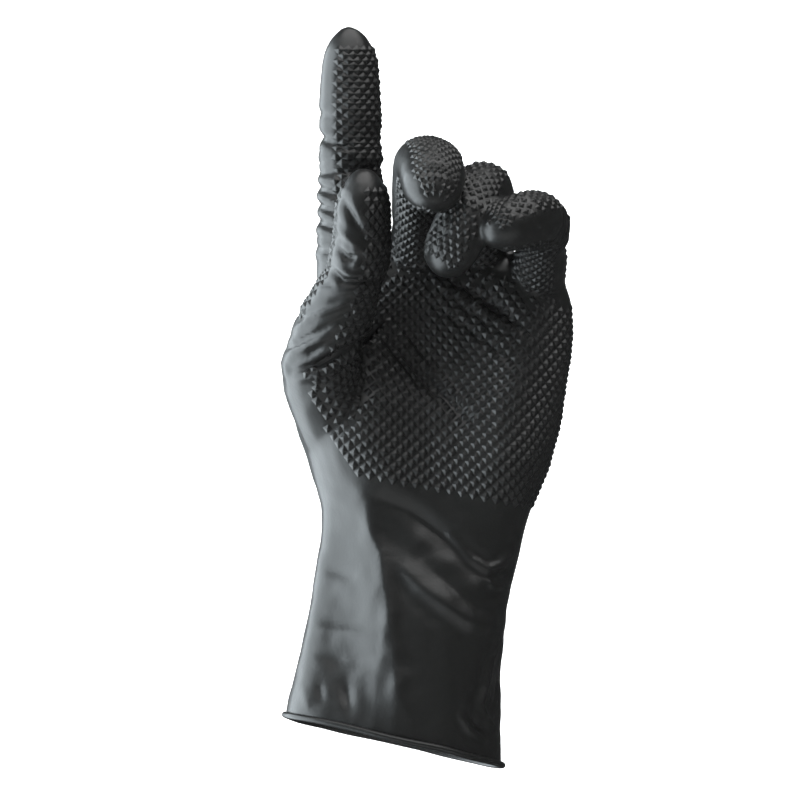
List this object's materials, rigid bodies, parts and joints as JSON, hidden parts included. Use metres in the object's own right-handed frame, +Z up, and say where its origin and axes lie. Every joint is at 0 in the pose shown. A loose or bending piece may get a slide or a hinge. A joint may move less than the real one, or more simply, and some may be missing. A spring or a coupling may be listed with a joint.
{
  "type": "nitrile exam glove",
  "caption": "Long-cuff disposable nitrile glove for the left hand, in the form it has when worn: index straight, thumb forward, other fingers curled. Grip texture, rolled rim.",
  "frame": {"origin": "middle of the cuff's opening, where an arm goes in", "axes": "+Z up the hand to the index fingertip, -Y out of the palm, +X towards the little finger"},
  "size_m": [0.1036, 0.0874, 0.2633],
  "materials": {
    "nitrile_film": "satin"
  },
  "bodies": {
    "root": {"glove": "nitrile_film"}
  },
  "joints": []
}
